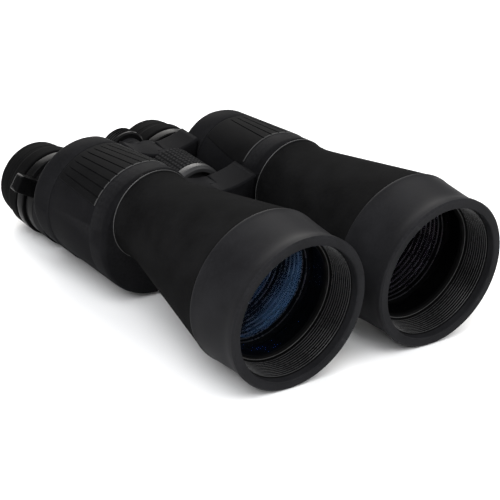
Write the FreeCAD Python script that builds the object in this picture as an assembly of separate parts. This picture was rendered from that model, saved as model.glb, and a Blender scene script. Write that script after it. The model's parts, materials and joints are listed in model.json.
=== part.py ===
"""Porro-prism astronomy binoculars, 60 mm class, with a centre focus wheel.

Frame: millimetres, +Z up. The origin is the mouth of the tripod socket, on the
centre hinge's axis. The optical axes run along Y: the objectives face -Y and the
eyepieces face +Y. The left half (the user's left hand) is at +X.
"""
import FreeCAD, Part
import math
import os

V = FreeCAD.Vector
ORIGIN = V(0, 0, 0)
AXIS_Y = V(0, 1, 0)
TAU = 2 * math.pi

# ---------------------------------------------------------------- driving sizes
OBJ_X, OBJ_Z = 44.1, 10.2          # objective axis, from the hinge axis
EYE_X, EYE_Z = 36.6, -20.6         # eyepiece axis, from the hinge axis
RUN_FIT = 0.06                     # radial clearance of a turning or sliding fit
CLEAR = 0.3                        # gap between faces that pass each other

# stations along Y
LIP_Y = -108.0                     # front of the objective bells
BELL_END_Y = -76.7                 # rear edge of the bell armour
COVER_Y = 6.7                      # front face of the front covers
HOUSING_Y = 19.5                   # joint between front cover and prism housing
REAR_Y = 56.0                      # joint between prism housing and rear cover
BACK_Y = 71.5                      # rear face of the rear covers
COLLAR_END_Y = 78.3                # rear end of the eyepiece collars
EYE_END_Y = 124.5                  # rear end of the eyecups

# objective end
LIP_R, BELL_WAIST_R, BELL_MAX_R = 38.9, 37.9, 39.5
SEAT_R = 34.0                      # cylinder inside the lip, where a dust cap fits
SEAT_DEPTH = 4.0
APERTURE_R = 30.0                  # clear radius of the objective
LENS_R = 31.6
RETAINER_Y = -90.5                 # front edge of the retaining ring
LENS_Y = -88.0                     # rim of the objective's front face
TUBE_R = 23.0                      # barrel where it enters the housing
TUBE_WALL = 1.8
TUBE_END_Y = 9.9                   # the barrel's end, inside the front cover

# prism housing
WALL = 2.5
INNER_X = 20.0                     # side of the housing that faces the hinge
OUTER_X_FRONT, OUTER_X_BACK = 71.8, 72.0
TOP_Z_FRONT, TOP_Z_BACK = 32.2, 25.4
BOTTOM_Z = -35.8
R_TOP_OUT, R_TOP_IN, R_LOW_OUT, R_LOW_IN = 29.0, 21.5, 31.0, 14.0
LOW_OUT_FLAT = 1.6                 # how far the lower outer corner is flattened
COLLAR_R = 20.9                    # eyepiece collar of the rear cover
PANEL_PROUD, BAND_PROUD = 0.5, 0.5  # grip panel and rear cover, above the housing
PANEL_Y0, PANEL_Y1 = 20.0, 55.0
PANEL_LOW_Z = 14.0
WING_LOW_Z, WING_MID_Z, WING_TOP_Z = -12.0, 15.6, 19.0   # underside, saddle and shoulder
WING_EDGE_R, LUG_EDGE_R, COLLAR_EDGE_R = 1.4, 1.0, 1.2
SCREW_R, SCREW_HEAD_R, SCREW_SOCKET_R = 1.1, 2.2, 0.8
SCREW_PLACES = [(28.0, 9.0), (54.0, 13.0), (64.5, -7.0)]

# prisms: each one shifts the axis by half its long side, at right angles to the other
SHELF_Y, SHELF_T = 35.0, 2.0
PRISM_HALF_WIDTH = 12.0
BEAM_R = 9.8                       # apertures in the prism shelf
SEAT_GAP = 0.1

# hinge and focus wheel
LUG_R, LUG_SPLIT_FRONT, LUG_END_FRONT = 14.0, 16.0, 25.6
LUG_START_REAR, LUG_SPLIT_REAR = 56.0, 60.8
SHAFT_R, SPINDLE_R = 5.0, 3.0
SOCKET_R, SOCKET_DEPTH = 2.6, 10.0
WHEEL_Y0, WHEEL_Y1, WHEEL_R = 28.6, 54.0, 17.8
WHEEL_RING_Y = 33.5                # smooth front ring, ahead of the knurled grip
SLEEVE_END_Y, SLEEVE_R = 78.0, 13.0

# eyepieces and bridge
BARREL_R, BARREL_IN_R = 17.2, 15.5
BARREL_Y0, BARREL_Y1 = 64.5, 104.8
FOCUS_TRAVEL = 3.5                 # each way, along Y
ARM_Y0, ARM_T = 82.0, 3.8
RING_R = 21.8                      # bridge ring around an eyepiece
CAP_Y0, CAP_Y1, CAP_R = 90.2, 101.0, 12.0
ZOOM_Y0, ZOOM_Y1, ZOOM_R = 90.2, 97.4, 21.5
DIOPTER_Y0, DIOPTER_Y1, DIOPTER_R = 98.0, 103.4, 23.0
CUP_Y0, CUP_R, CUP_BAND_Y = 105.2, 22.8, 111.5
LEVER_ANGLE = 153.0                # degrees from +X about the right eyepiece axis
LEVER_REACH = 35.0                 # tip of the lever, from the same axis
EYE_LENS_R = 12.0


# -------------------------------------------------------------------- geometry
def rod(x, z, radius, y0, y1):
    """Solid cylinder along Y."""
    return Part.makeCylinder(radius, y1 - y0, V(x, y0, z), AXIS_Y)


def tube(x, z, outer, inner, y0, y1):
    """Hollow cylinder along Y."""
    return rod(x, z, outer, y0, y1).cut(rod(x, z, inner, y0 - 1, y1 + 1))


def turned(x, z, profile):
    """Solid of revolution about the Y-parallel axis at (x, z), from (radius, y) points."""
    points = [V(x + r, y, z) for r, y in profile]
    wire = Part.makePolygon(points + points[:1])
    return Part.Face(wire).revolve(V(x, 0, z), AXIS_Y, 360)


def prism_along_y(points, y0, y1):
    """Straight-sided block from (x, z) corner points."""
    corners = [V(x, y0, z) for x, z in points]
    wire = Part.makePolygon(corners + corners[:1])
    return Part.Face(wire).extrude(V(0, y1 - y0, 0))


def lens(x, z, radius, y0, y1, bulge_front, bulge_back):
    """Round lens with an edge from y0 to y1 and two spherical faces."""
    rim_a, rim_b = V(x + radius, y0, z), V(x + radius, y1, z)
    pole_a, pole_b = V(x, y0 - bulge_front, z), V(x, y1 + bulge_back, z)

    def cap(pole, rim, bulge):
        """Arc from the pole to the rim, or a line where the face is flat."""
        if bulge == 0:
            return Part.makeLine(pole, rim)
        sphere_r = (radius ** 2 + bulge ** 2) / (2 * abs(bulge))
        half = 0.5 * math.asin(radius / sphere_r)
        sag = sphere_r * (1 - math.cos(half))
        side = 1 if rim.y > pole.y else -1
        middle = V(x + sphere_r * math.sin(half), pole.y + side * sag, z)
        return Part.Arc(pole, middle, rim).toShape()

    wire = Part.Wire([cap(pole_a, rim_a, bulge_front), Part.makeLine(rim_a, rim_b),
                      cap(pole_b, rim_b, bulge_back), Part.makeLine(pole_b, pole_a)])
    return Part.Face(wire).revolve(V(x, 0, z), AXIS_Y, 360)


def mirrored(shape):
    """The same piece on the other half."""
    return shape.mirror(ORIGIN, V(1, 0, 0))


def export(name, shape):
    """Write one sub-part, and stop if it isn't sound."""
    shape = shape.removeSplitter()
    if not shape.isValid() or not shape.Solids:
        raise ValueError(f"{name} is not a valid solid")
    if len(shape.Solids) == 1:
        shape = shape.Solids[0]
    shape.exportStep(f"parts/{name}.step")
    print(f"{name}: {len(shape.Solids)} solid(s), {shape.Volume / 1000:.2f} cm3")


# -------------------------------------------------------- housing cross-section
def outline(y, grow=0.0):
    """Closed wire of the housing's cross-section at y, offset outwards by grow."""
    along = (y - HOUSING_Y) / (BACK_Y - HOUSING_Y)
    x0 = INNER_X - grow
    x1 = OUTER_X_FRONT + along * (OUTER_X_BACK - OUTER_X_FRONT) + grow
    z0 = BOTTOM_Z - grow
    z1 = TOP_Z_FRONT + along * (TOP_Z_BACK - TOP_Z_FRONT) + grow
    corners = [(x1, z0, R_LOW_OUT, -90, LOW_OUT_FLAT), (x1, z1, R_TOP_OUT, 0, 0),
               (x0, z1, R_TOP_IN, 90, 0), (x0, z0, R_LOW_IN, 180, 0)]
    arcs = []
    for cx, cz, radius, start, flat in corners:
        radius = max(radius + grow, 1.0)
        mx = cx - math.copysign(radius, cx - (x0 + x1) / 2)
        mz = cz - math.copysign(radius, cz - (z0 + z1) / 2)
        ends = []
        for step, reach in ((0, radius), (45, radius - flat), (90, radius)):
            turn = math.radians(start + step)
            ends.append(V(mx + reach * math.cos(turn), y, mz + reach * math.sin(turn)))
        arcs.append((ends, Part.Arc(*ends).toShape()))
    edges = []
    for (ends, arc), (after, _) in zip(arcs, arcs[1:] + arcs[:1]):
        edges += [arc, Part.makeLine(ends[2], after[0])]
    return Part.Wire(edges)


def rounded_edge(y_side, y_face, grow_side, grow_face, steps=6):
    """Outlines that round over the edge between a cover's side and its face."""
    rows = []
    for i in range(steps + 1):
        turn = math.pi / 2 * i / steps
        rows.append(outline(y_side + (y_face - y_side) * math.sin(turn),
                            grow_face + (grow_side - grow_face) * math.cos(turn)))
    return rows


def body_between(y0, y1, grow=0.0):
    """Solid slice of the housing's outer or inner form."""
    return Part.makeLoft([outline(y0, grow), outline(y1, grow)], True, True)


def wing_profile(reach):
    """Block from the hinge axis to x = reach, with a concave saddle on top."""
    top_mid, top_end = V(reach * 0.55, 0, WING_MID_Z), V(reach, 0, WING_TOP_Z)
    points = [V(0, 0, LUG_R), V(0, 0, WING_LOW_Z), V(reach, 0, WING_LOW_Z)]
    saddle = Part.Arc(top_end, top_mid, points[0]).toShape()
    wire = Part.Wire([Part.makeLine(points[0], points[1]), Part.makeLine(points[1], points[2]),
                      Part.makeLine(points[2], top_end), saddle])
    return Part.Face(wire)


def wing(y0, y1, own_y0, own_y1, bore):
    """Hinge wing from y0 to y1 that keeps only its own lug, own_y0 to own_y1."""
    slab = wing_profile(INNER_X - 0.02).extrude(V(0, y1 - y0, 0))
    slab.translate(V(0, y0, 0))
    saddles = [e for e in slab.Edges if min(v.Z for v in e.Vertexes) > LUG_R - 0.1
               and abs(e.Vertexes[0].Y - e.Vertexes[1].Y) < 0.1]
    slab = slab.makeFillet(WING_EDGE_R, saddles)
    lug = rod(0, 0, LUG_R, own_y0, own_y1)
    free_y = y0 if own_y0 == y0 else y1
    lug = lug.makeFillet(LUG_EDGE_R, [e for e in lug.Edges if abs(e.BoundBox.YMin - free_y) < 0.01
                                      and abs(e.BoundBox.YMax - free_y) < 0.01])
    block = slab.fuse(lug)
    room = LUG_R + CLEAR
    if own_y0 > y0:
        block = block.cut(rod(0, 0, room, y0 - 1, own_y0))
    if own_y1 < y1:
        block = block.cut(rod(0, 0, room, own_y1, y1 + 1))
    return block.cut(rod(0, 0, bore, y0 - 1, y1 + 1))


# ---------------------------------------------------------------- objective end
def objective_bell():
    """Armour ring with a rounded, slightly flared lip."""
    outside = [(LIP_R - 2.4, LIP_Y), (LIP_R - 0.7, LIP_Y + 0.5), (LIP_R, LIP_Y + 2),
               (LIP_R - 0.3, LIP_Y + 4), (BELL_WAIST_R, LIP_Y + 8), (BELL_WAIST_R + 0.3, LIP_Y + 14),
               (BELL_MAX_R - 0.4, LIP_Y + 28), (BELL_MAX_R, BELL_END_Y - 1.2),
               (BELL_MAX_R - 0.3, BELL_END_Y)]
    inside = [(36.2, BELL_END_Y), (36.2, LIP_Y + SEAT_DEPTH), (SEAT_R, LIP_Y + SEAT_DEPTH),
              (SEAT_R, LIP_Y)]
    return turned(OBJ_X, OBJ_Z, outside + inside)


def objective_cell():
    """Threaded metal cell: a ribbed shade in front, a seat for the lens behind."""
    front = LIP_Y + SEAT_DEPTH
    shade = [(36.1, front), (33.4, front)]
    pitch, ribs = 1.5, 8
    for i in range(ribs):
        y = front + 0.8 + i * pitch
        shade += [(33.3 - 0.14 * i, y), (33.9 - 0.14 * i, y + pitch / 2)]
    seat = [(LENS_R + 0.1, RETAINER_Y - 0.1), (LENS_R + 0.1, LENS_Y + 9),
            (APERTURE_R - 0.5, LENS_Y + 9), (APERTURE_R - 0.5, LENS_Y + 11),
            (34.0, LENS_Y + 11), (34.0, LENS_Y), (36.1, LENS_Y)]
    return turned(OBJ_X, OBJ_Z, shade + seat)


def retaining_ring():
    """Thin threaded ring that holds the objective in its cell."""
    return turned(OBJ_X, OBJ_Z, [(LENS_R, RETAINER_Y), (30.9, RETAINER_Y), (APERTURE_R, RETAINER_Y + 0.9),
                                 (APERTURE_R, LENS_Y - 0.3), (LENS_R, LENS_Y - 0.3)])


def objective_lens():
    """Cemented doublet, treated as one glass."""
    return lens(OBJ_X, OBJ_Z, LENS_R, LENS_Y, LENS_Y + 8.9, 2.2, 0.6)


def barrel_tube():
    """Conical barrel from the lens cell to the prism housing."""
    neck_y = -7.0
    outside = [(36.1, LENS_Y + 0.1), (36.1, BELL_END_Y + 0.1), (BELL_MAX_R - 0.5, BELL_END_Y + 0.1),
               (38.4, BELL_END_Y + 3.2), (TUBE_R + 1.3, neck_y - 4), (TUBE_R + 0.2, neck_y + 2),
               (TUBE_R, COVER_Y), (TUBE_R, TUBE_END_Y)]
    inside = [(TUBE_R - TUBE_WALL, TUBE_END_Y), (TUBE_R - TUBE_WALL, neck_y), (34.2, BELL_END_Y + 2),
              (34.2, LENS_Y + 0.1)]
    return turned(OBJ_X, OBJ_Z, outside + inside)


def baffle_tube():
    """Blackened inner cone with stepped baffle rings."""
    y0, y1, r0, r1, steps = -70.0, 5.0, 29.5, 17.8, 11
    outside, inside = [], []
    for i in range(steps + 1):
        t = i / steps
        y, r = y0 + t * (y1 - y0), r0 + t * (r1 - r0)
        outside.append((r, y))
        inside += [(r - 1.0, y), (r - 2.6, y + 0.6), (r - 1.1, y + 1.2)]
    inside = [(r, min(y, y1)) for r, y in inside[:-2]]
    return turned(OBJ_X, OBJ_Z, outside + inside[::-1])


# ------------------------------------------------------------------ half bodies
def front_cover(own_y0, own_y1, bore):
    """Front cover: shoulder band, barrel socket and front hinge wing."""
    edge = rounded_edge(COVER_Y + 4, COVER_Y, 0, -2.2)[::-1]
    shell = Part.makeLoft(edge + [outline(HOUSING_Y)], True, True)
    shell = shell.cut(body_between(COVER_Y + 3, HOUSING_Y + 1, -WALL - 0.4))
    arm = wing(COVER_Y, LUG_END_FRONT, own_y0, own_y1, bore)
    link = prism_along_y([(INNER_X - 1, WING_LOW_Z), (INNER_X + 4, WING_LOW_Z),
                          (INNER_X + 4, WING_TOP_Z - 0.4), (INNER_X - 1, WING_TOP_Z - 0.6)],
                         COVER_Y + 0.4, HOUSING_Y - 0.1)
    cover = shell.fuse(arm).fuse(link)
    cover = cover.cut(rod(OBJ_X, OBJ_Z, TUBE_R + 0.02, COVER_Y - 1, TUBE_END_Y + 0.05))
    return max(cover.Solids, key=lambda s: s.Volume)


def prism_housing():
    """Main shell between the covers, open at both ends."""
    return body_between(HOUSING_Y, REAR_Y).cut(body_between(HOUSING_Y - 1, REAR_Y + 1, -WALL))


def rear_cover(own_y0, own_y1, bore):
    """Rear cover: rear wall, rear hinge wing, and a collar boss that holds the eyepiece barrel."""
    edge = rounded_edge(BACK_Y - 4.5, BACK_Y, BAND_PROUD, -3.2)
    shell = Part.makeLoft([outline(REAR_Y), outline(REAR_Y + 0.8, BAND_PROUD)] + edge, True, True)
    shell = shell.cut(body_between(REAR_Y - 1, BACK_Y - 3, -WALL - 0.7))
    arm = wing(LUG_START_REAR, BACK_Y, own_y0, own_y1, bore)
    bore_y0 = BARREL_Y0 - FOCUS_TRAVEL - CLEAR
    collar_y0 = bore_y0 - 1.5
    collar = rod(EYE_X, EYE_Z, COLLAR_R, collar_y0, COLLAR_END_Y)
    collar = collar.makeFillet(COLLAR_EDGE_R, [e for e in collar.Edges if len(e.Vertexes) == 1])
    collar = collar.cut(rod(EYE_X, EYE_Z, BARREL_IN_R - 1.5, collar_y0 - 1, COLLAR_END_Y))
    cover = shell.fuse(arm).fuse(collar)
    cover = cover.cut(rod(0, 0, SLEEVE_R + 1.0, BACK_Y, COLLAR_END_Y + 1))
    cover = cover.cut(rod(EYE_X, EYE_Z, BARREL_R + RUN_FIT, bore_y0, COLLAR_END_Y + 1))
    for x, z in SCREW_PLACES:
        cover = cover.cut(rod(x, z, SCREW_R, BACK_Y - 8, BACK_Y + 1))
    return cover


def cover_screws():
    """Pan-head screws of the rear cover, as one group."""
    screws = []
    for x, z in SCREW_PLACES:
        head = turned(x, z, [(0, BACK_Y + 1.2), (SCREW_HEAD_R - 0.7, BACK_Y + 1.2),
                             (SCREW_HEAD_R, BACK_Y + 0.5), (SCREW_HEAD_R, BACK_Y), (0, BACK_Y)])
        socket = rod(x, z, SCREW_SOCKET_R, BACK_Y + 0.5, BACK_Y + 2)
        screws.append(head.fuse(rod(x, z, SCREW_R, BACK_Y - 5, BACK_Y)).cut(socket))
    return Part.makeCompound(screws)


def grip_panel():
    """Textured pad that wraps over the top of the housing."""
    skin = body_between(PANEL_Y0, PANEL_Y1, PANEL_PROUD).cut(body_between(PANEL_Y0 - 1, PANEL_Y1 + 1))
    inner_low_z, beyond = 20.5, 60
    keep = prism_along_y([(INNER_X - 5, inner_low_z), (INNER_X + 20, inner_low_z),
                          (OUTER_X_FRONT - 12, PANEL_LOW_Z), (OUTER_X_FRONT + 9, PANEL_LOW_Z),
                          (OUTER_X_FRONT + 9, beyond), (INNER_X - 5, beyond)], PANEL_Y0 - 1, PANEL_Y1 + 1)
    return skin.common(keep)


def prism_frame():
    """Centres and long-axis directions of the two crossed prisms, in the XZ plane."""
    dx, dz = EYE_X - OBJ_X, EYE_Z - OBJ_Z
    shift = math.hypot(dx, dz) / math.sqrt(2)
    heading = math.atan2(dz, dx)
    first, second = heading + math.pi / 4, heading - math.pi / 4
    u = (math.cos(first), math.sin(first))
    w = (math.cos(second), math.sin(second))
    between = (OBJ_X + shift * u[0], OBJ_Z + shift * u[1])
    rear = (OBJ_X + shift * u[0] / 2, OBJ_Z + shift * u[1] / 2)
    front = (between[0] + shift * w[0] / 2, between[1] + shift * w[1] / 2)
    return shift, u, w, between, rear, front


def porro_prism(centre, direction, half_length, y_face, y_apex):
    """Right-angle prism with rounded ends; its long face lies at y_face."""
    cx, cz = centre
    ux, uz = direction
    across = V(-uz, 0, ux) * PRISM_HALF_WIDTH
    ends = [V(cx - ux * half_length, y_face, cz - uz * half_length),
            V(cx + ux * half_length, y_face, cz + uz * half_length), V(cx, y_apex, cz)]
    wire = Part.makePolygon([p - across for p in ends] + [ends[0] - across])
    block = Part.Face(wire).extrude(across * 2)
    reach = half_length - PRISM_HALF_WIDTH
    low, high = sorted((y_face, y_apex))
    rounds = [rod(cx + s * ux * reach, cz + s * uz * reach, PRISM_HALF_WIDTH, low, high) for s in (-1, 1)]
    side = V(ux, 0, uz) * reach
    a, b = V(cx, low, cz) - side - across, V(cx, low, cz) + side - across
    slab = Part.Face(Part.makePolygon([a, b, b + across * 2, a + across * 2, a])).extrude(V(0, high - low, 0))
    return block.common(slab.fuse(rounds))


def prism_shelf():
    """Plate between the prisms, with an aperture where each beam passes."""
    between = prism_frame()[3]
    y0 = SHELF_Y - SHELF_T / 2
    plate = body_between(y0, y0 + SHELF_T, -WALL - 0.05)
    for x, z in ((OBJ_X, OBJ_Z), between, (EYE_X, EYE_Z)):
        plate = plate.cut(rod(x, z, BEAM_R, y0 - 1, y0 + SHELF_T + 1))
    return plate


def rear_prism():
    """Prism behind the shelf, which takes the beam from the objective."""
    shift, u, _, _, rear, _ = prism_frame()
    y_face = SHELF_Y + SHELF_T / 2 + SEAT_GAP
    return porro_prism(rear, u, shift, y_face, y_face + shift)


def front_prism():
    """Prism ahead of the shelf, which hands the beam to the eyepiece."""
    shift, _, w, _, _, front = prism_frame()
    y_face = SHELF_Y - SHELF_T / 2 - SEAT_GAP
    return porro_prism(front, w, shift, y_face, y_face - shift)


# ------------------------------------------------------------- hinge and focus
def tripod_socket():
    """Threaded bush in the front end of the hinge."""
    body = turned(0, 0, [(0, 0), (6.6, 0), (7.5, 0.9), (7.5, COVER_Y - 0.1), (SHAFT_R, COVER_Y - 0.1),
                         (SHAFT_R, 12.0), (0, 12.0)])
    return body.cut(rod(0, 0, SOCKET_R, -1, SOCKET_DEPTH))


def hinge_shaft():
    """Shaft through all four lugs, bored at the rear for the focus spindle."""
    return rod(0, 0, SHAFT_R, 12.1, SLEEVE_END_Y).cut(rod(0, 0, SPINDLE_R + RUN_FIT, 38, SLEEVE_END_Y + 1))


def hinge_washers():
    """Thrust washers on each side of the focus wheel."""
    return Part.makeCompound([tube(0, 0, 9.0, SHAFT_R + 0.01, LUG_END_FRONT + 0.1, WHEEL_Y0 - 0.1),
                              tube(0, 0, 9.0, SHAFT_R + 0.01, WHEEL_Y1 + 0.1, LUG_START_REAR - 0.1)])


def hinge_sleeve():
    """Smooth sleeve behind the rear lugs, which guides the spindle."""
    profile = [(SHAFT_R + 0.01, BACK_Y + 0.3), (SLEEVE_R - 0.4, BACK_Y + 0.3), (SLEEVE_R, BACK_Y + 0.8),
               (SLEEVE_R, SLEEVE_END_Y - 1.5), (SLEEVE_R - 1.5, SLEEVE_END_Y), (SHAFT_R + 0.01, SLEEVE_END_Y)]
    return turned(0, 0, profile)


def wheel_hub():
    """Hub of the focus wheel with its smooth front ring and dished front face."""
    grip_r = WHEEL_R - 2.0
    profile = [(SHAFT_R + RUN_FIT, WHEEL_Y0), (9.2, WHEEL_Y0), (9.2, WHEEL_Y0 + 3.5), (14.0, WHEEL_Y0 + 3.5),
               (14.6, WHEEL_Y0), (16.6, WHEEL_Y0), (WHEEL_R, WHEEL_Y0 + 1.4), (WHEEL_R, WHEEL_RING_Y),
               (grip_r, WHEEL_RING_Y), (grip_r, WHEEL_Y1), (SHAFT_R + RUN_FIT, WHEEL_Y1)]
    return turned(0, 0, profile)


def wheel_grip():
    """Knurled rubber sleeve on the focus wheel, as a faceted ring."""
    grip_r = WHEEL_R - 2.0
    sleeve = tube(0, 0, WHEEL_R, grip_r + 0.01, WHEEL_RING_Y + 0.05, WHEEL_Y1)
    teeth, depth = 24, 0.5
    for i in range(teeth):
        turn = TAU * i / teeth
        groove = rod(WHEEL_R * math.cos(turn) * 1.01, WHEEL_R * math.sin(turn) * 1.01, depth,
                     WHEEL_RING_Y, WHEEL_Y1 + 1)
        sleeve = sleeve.cut(groove)
    return sleeve


def focus_spindle():
    """Spindle that the wheel's thread drives, with a shoulder for the bridge."""
    return rod(0, 0, SPINDLE_R, 42.0, CAP_Y0 + 6)


# ---------------------------------------------------------- eyepieces and bridge
def bridge_arm(side, y0, y1, hub_bore):
    """Arm from the centre hub to the ring that carries one eyepiece."""
    x = side * EYE_X
    hub_r, waist = 9.0, 6.0
    length = math.hypot(EYE_X, EYE_Z)
    nx, nz = -EYE_Z / length * waist, side * EYE_X / length * waist
    web = prism_along_y([(nx, nz), (x + nx, EYE_Z + nz), (x - nx, EYE_Z - nz), (-nx, -nz)], y0, y1)
    arm = web.fuse([rod(0, 0, hub_r, y0, y1), rod(x, EYE_Z, RING_R, ARM_Y0, ARM_Y0 + 2 * ARM_T + 0.2)])
    arm = arm.cut(rod(x, EYE_Z, BARREL_R + 0.01, ARM_Y0 - 1, CAP_Y1))
    return arm.cut(rod(0, 0, hub_bore, y0 - 1, y1 + 1))


def left_arm():
    """Front arm, fixed to the spindle."""
    stub = tube(0, 0, 6.0, SPINDLE_R + 0.01, ARM_Y0, ARM_Y0 + 2 * ARM_T + 0.4)
    return bridge_arm(1, ARM_Y0, ARM_Y0 + ARM_T, SPINDLE_R + 0.01).fuse(stub)


def right_arm():
    """Rear arm, which turns on the left arm's stub as the hinge folds."""
    return bridge_arm(-1, ARM_Y0 + ARM_T + 0.2, ARM_Y0 + 2 * ARM_T + 0.2, 6.0 + RUN_FIT)


def bridge_cap():
    """Ribbed cap screwed on the spindle's end."""
    profile = [(SPINDLE_R + 0.01, CAP_Y0), (CAP_R - 0.8, CAP_Y0), (CAP_R, CAP_Y0 + 0.8)]
    ribs, pitch = 5, 1.6
    for i in range(ribs):
        y = CAP_Y0 + 1.6 + i * pitch
        profile += [(CAP_R - 0.1 * i, y), (CAP_R - 0.5 - 0.1 * i, y + pitch / 2)]
    profile += [(CAP_R - 2.0, CAP_Y1 - 0.6), (CAP_R - 3.5, CAP_Y1), (0, CAP_Y1), (0, CAP_Y0 + 6.1),
                (SPINDLE_R + 0.01, CAP_Y0 + 6.1)]
    return turned(0, 0, profile)


def eyepiece_barrel():
    """Tube that slides in the rear cover's collar."""
    return tube(EYE_X, EYE_Z, BARREL_R, BARREL_IN_R, BARREL_Y0, BARREL_Y1)


def zoom_ring():
    """Turning ring that drives the zoom lenses."""
    profile = [(BARREL_R + RUN_FIT, ZOOM_Y0), (ZOOM_R - 0.6, ZOOM_Y0), (ZOOM_R, ZOOM_Y0 + 0.6),
               (ZOOM_R, ZOOM_Y1 - 0.6), (ZOOM_R - 0.6, ZOOM_Y1), (BARREL_R + RUN_FIT, ZOOM_Y1)]
    return turned(EYE_X, EYE_Z, profile)


def zoom_lever():
    """Thumb lever that stands out from the right zoom ring, with a rounded tip."""
    half, root, thick = 4.6, ZOOM_R - 0.6, ZOOM_Y1 - ZOOM_Y0 - 1.6
    lever = Part.makeBox(LEVER_REACH - root, thick, 2 * half, V(root, ZOOM_Y0 + 0.8, -half))
    tip = [e for e in lever.Edges if min(v.Point.x for v in e.Vertexes) > LEVER_REACH - 0.1]
    lever = lever.makeFillet(2.2, tip)
    lever.rotate(ORIGIN, AXIS_Y, -LEVER_ANGLE)
    lever.translate(V(-EYE_X, 0, EYE_Z))
    return lever.cut(rod(-EYE_X, EYE_Z, ZOOM_R + 0.01, ZOOM_Y0 - 1, ZOOM_Y1 + 1))


def zoom_cell():
    """Sliding carrier of the zoom lens, inside the barrel."""
    return tube(EYE_X, EYE_Z, BARREL_IN_R - 0.2, 11.0, 74.0, 84.0)


def diopter_ring():
    """Narrow ring ahead of the eyecup."""
    profile = [(BARREL_R + RUN_FIT, DIOPTER_Y0), (DIOPTER_R - 0.5, DIOPTER_Y0), (DIOPTER_R, DIOPTER_Y0 + 0.5),
               (DIOPTER_R, DIOPTER_Y1 - 0.5), (DIOPTER_R - 0.5, DIOPTER_Y1), (BARREL_R + RUN_FIT, DIOPTER_Y1)]
    return turned(EYE_X, EYE_Z, profile)


def ocular_cell():
    """Cell of the eye lens, which slides in the rear of the barrel."""
    inner = EYE_LENS_R + 0.1
    profile = [(BARREL_IN_R - RUN_FIT, 94.0), (BARREL_IN_R - RUN_FIT, 106.8), (18.5, 106.8), (18.5, 110.0),
               (14.2, 110.0), (inner, 113.0), (inner, 105.0), (10.6, 103.6), (10.6, 94.0)]
    return turned(EYE_X, EYE_Z, profile)


def eyecup():
    """Rubber eyecup: a wide base band, a step, then a gently tapered cup with a rolled rim."""
    outside = [(CUP_R - 0.5, CUP_Y0), (CUP_R, CUP_Y0 + 0.6), (CUP_R, CUP_BAND_Y), (21.7, CUP_BAND_Y + 0.9),
               (21.5, 116.0), (21.0, 121.5), (20.5, 123.5), (19.5, EYE_END_Y)]
    inside = [(18.6, EYE_END_Y - 0.2), (17.8, 123.2), (17.4, 118.0), (15.4, 113.4), (15.4, 110.1),
              (18.6, 110.1), (18.6, CUP_Y0)]
    return turned(EYE_X, EYE_Z, outside + inside)


def main():
    """Build every sub-part and write it to parts/."""
    os.makedirs("parts", exist_ok=True)
    both = {
        "objective_bell": objective_bell(), "objective_cell": objective_cell(),
        "retaining_ring": retaining_ring(), "objective_lens": objective_lens(),
        "barrel_tube": barrel_tube(), "baffle_tube": baffle_tube(),
        "prism_housing": prism_housing(), "grip_panel": grip_panel(),
        "prism_shelf": prism_shelf(), "rear_prism": rear_prism(), "front_prism": front_prism(),
        "cover_screws": cover_screws(), "eyepiece_barrel": eyepiece_barrel(),
        "zoom_ring": zoom_ring(), "zoom_cell": zoom_cell(),
        "zoom_lens": lens(EYE_X, EYE_Z, 10.98, 77.0, 80.0, 1.2, 1.2),
        "field_lens": lens(EYE_X, EYE_Z, BARREL_IN_R - 0.05, 66.0, 68.5, 0, 1.8),
        "diopter_ring": diopter_ring(), "ocular_cell": ocular_cell(),
        "eye_lens": lens(EYE_X, EYE_Z, EYE_LENS_R, 105.1, 109.0, 1.4, 1.0),
        "eyecup": eyecup(),
    }
    for name, shape in both.items():
        export(f"left_{name}", shape)
        export(f"right_{name}", mirrored(shape))
    turning = SHAFT_R + RUN_FIT
    export("left_front_cover", front_cover(COVER_Y, LUG_SPLIT_FRONT, SHAFT_R + 0.01))
    export("right_front_cover", mirrored(front_cover(LUG_SPLIT_FRONT + CLEAR, LUG_END_FRONT, turning)))
    export("left_rear_cover", rear_cover(LUG_START_REAR, LUG_SPLIT_REAR, SHAFT_R + 0.01))
    export("right_rear_cover", mirrored(rear_cover(LUG_SPLIT_REAR + CLEAR, BACK_Y, turning)))
    single = {
        "tripod_socket": tripod_socket(), "hinge_shaft": hinge_shaft(), "hinge_washers": hinge_washers(),
        "hinge_sleeve": hinge_sleeve(), "focus_wheel_hub": wheel_hub(), "focus_wheel_grip": wheel_grip(),
        "focus_spindle": focus_spindle(), "left_bridge_arm": left_arm(), "right_bridge_arm": right_arm(),
        "bridge_cap": bridge_cap(), "zoom_lever": zoom_lever(),
    }
    for name, shape in single.items():
        export(name, shape)


main()
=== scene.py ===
"""Looks of the 60 mm porro-prism astronomy binoculars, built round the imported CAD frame.

Sizes in the classes are millimetres and become metres in the meshes. +Y runs from the
objectives to the eyepieces, +Z is up, and the left half (the user's left) is at +X.
"""
import json
import logging
import math
from dataclasses import dataclass
from enum import Enum
from typing import Any, Sequence

import bmesh
import bpy
from mathutils import Matrix, Vector

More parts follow.
